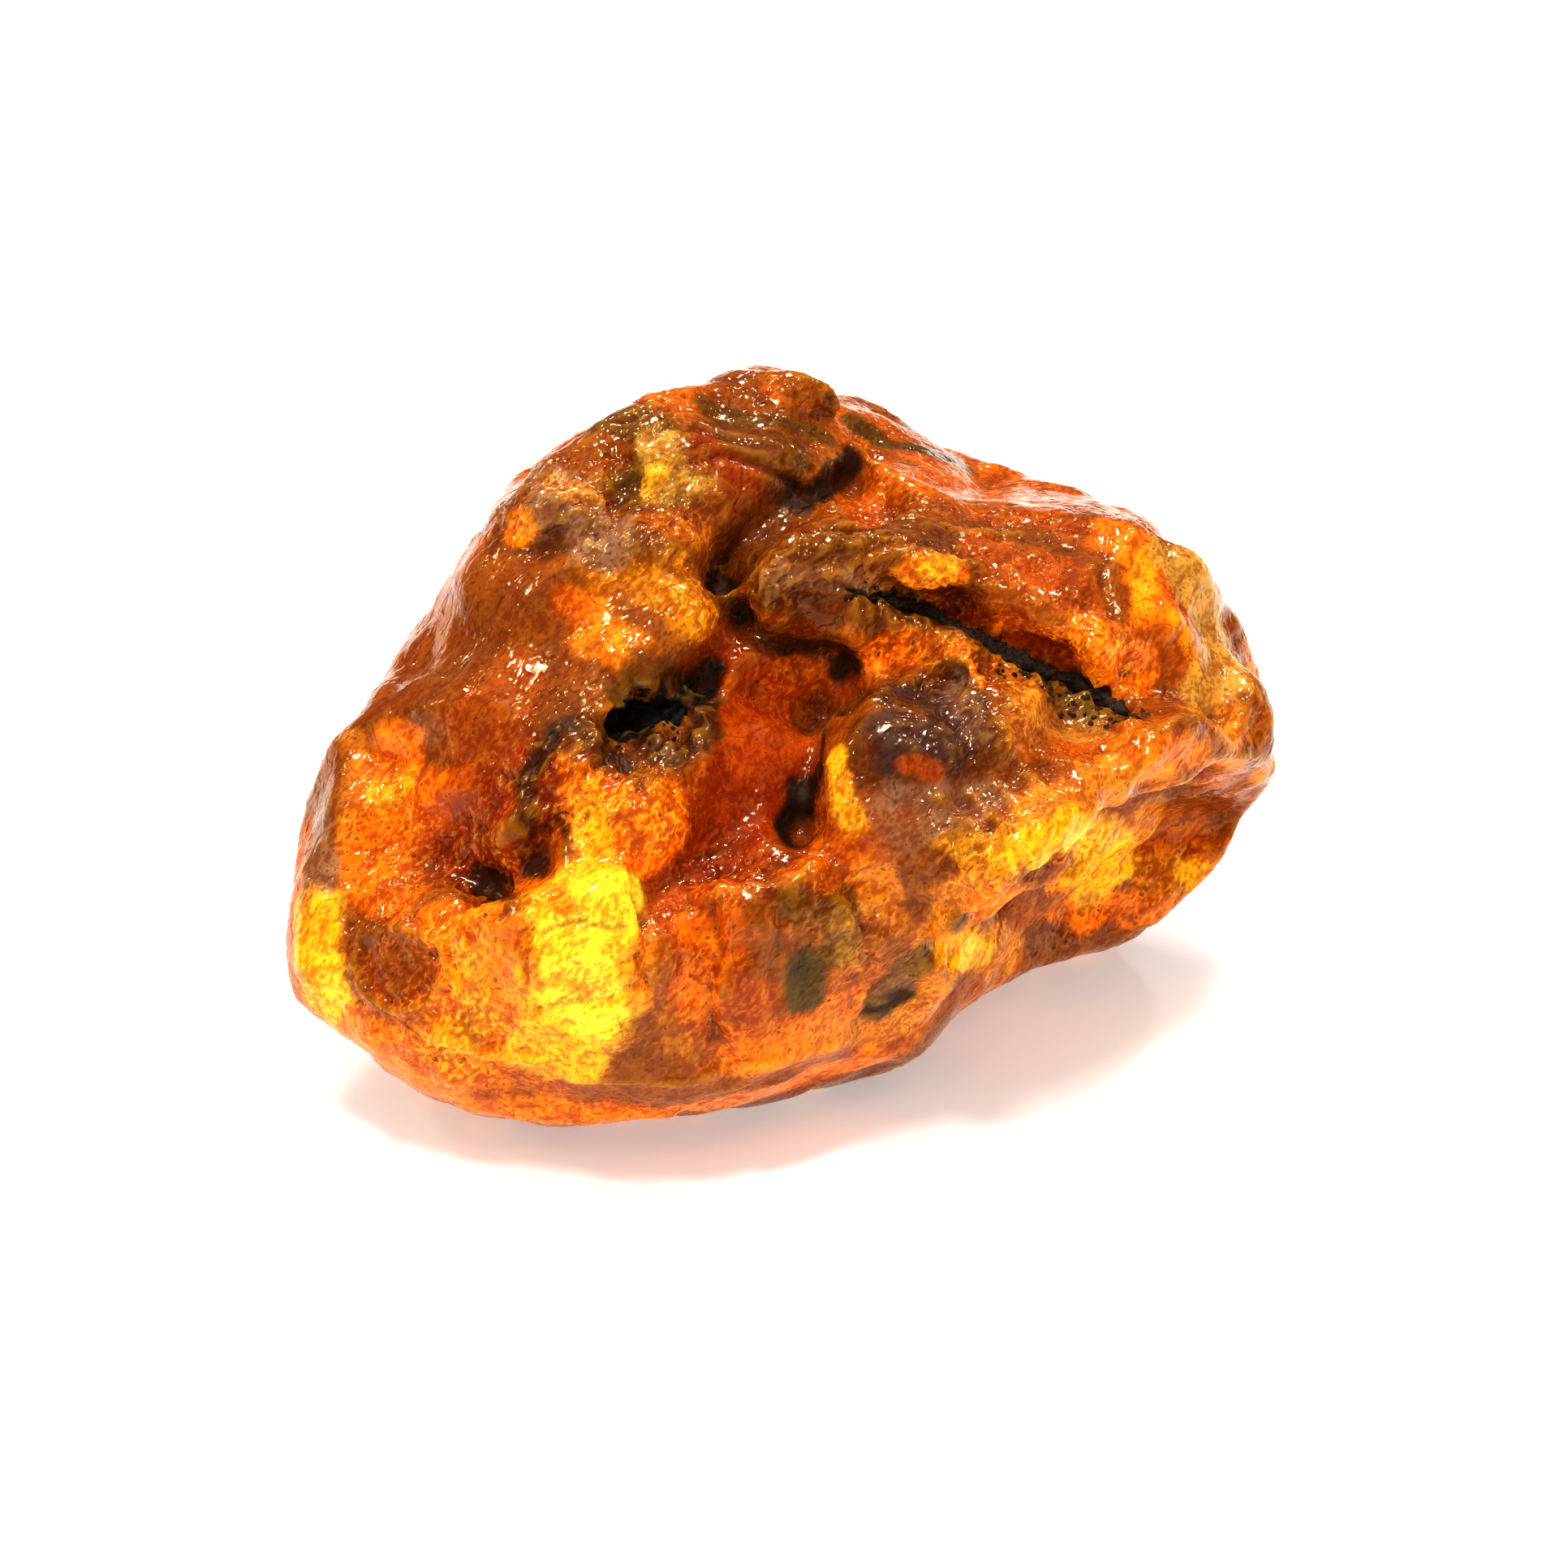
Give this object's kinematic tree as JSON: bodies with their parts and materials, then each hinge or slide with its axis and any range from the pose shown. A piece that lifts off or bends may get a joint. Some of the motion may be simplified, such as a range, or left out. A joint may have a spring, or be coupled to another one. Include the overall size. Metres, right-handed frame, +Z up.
{
  "type": "raw amber piece",
  "caption": "Rough lump of see-through orange amber with a weathered brown crust, a bark-lined crack and an earth-filled pit, lying on a flat base.",
  "frame": {"origin": "middle of the lump's box, on the flat resting face", "axes": "+Z up off the resting face, +X to the right along the lump's length as its best side is seen from -Y"},
  "size_m": [0.0608, 0.0486, 0.0386],
  "materials": {
    "amber": "clear orange resin with a weathered gloss, browner and more opaque in its crust",
    "bark": "dry grey-brown bark fibres",
    "earth": "matt black-brown earth"
  },
  "bodies": {
    "root": {"amber_lump": "amber", "bark_strip": "bark", "earth_plug": "earth"}
  },
  "joints": []
}
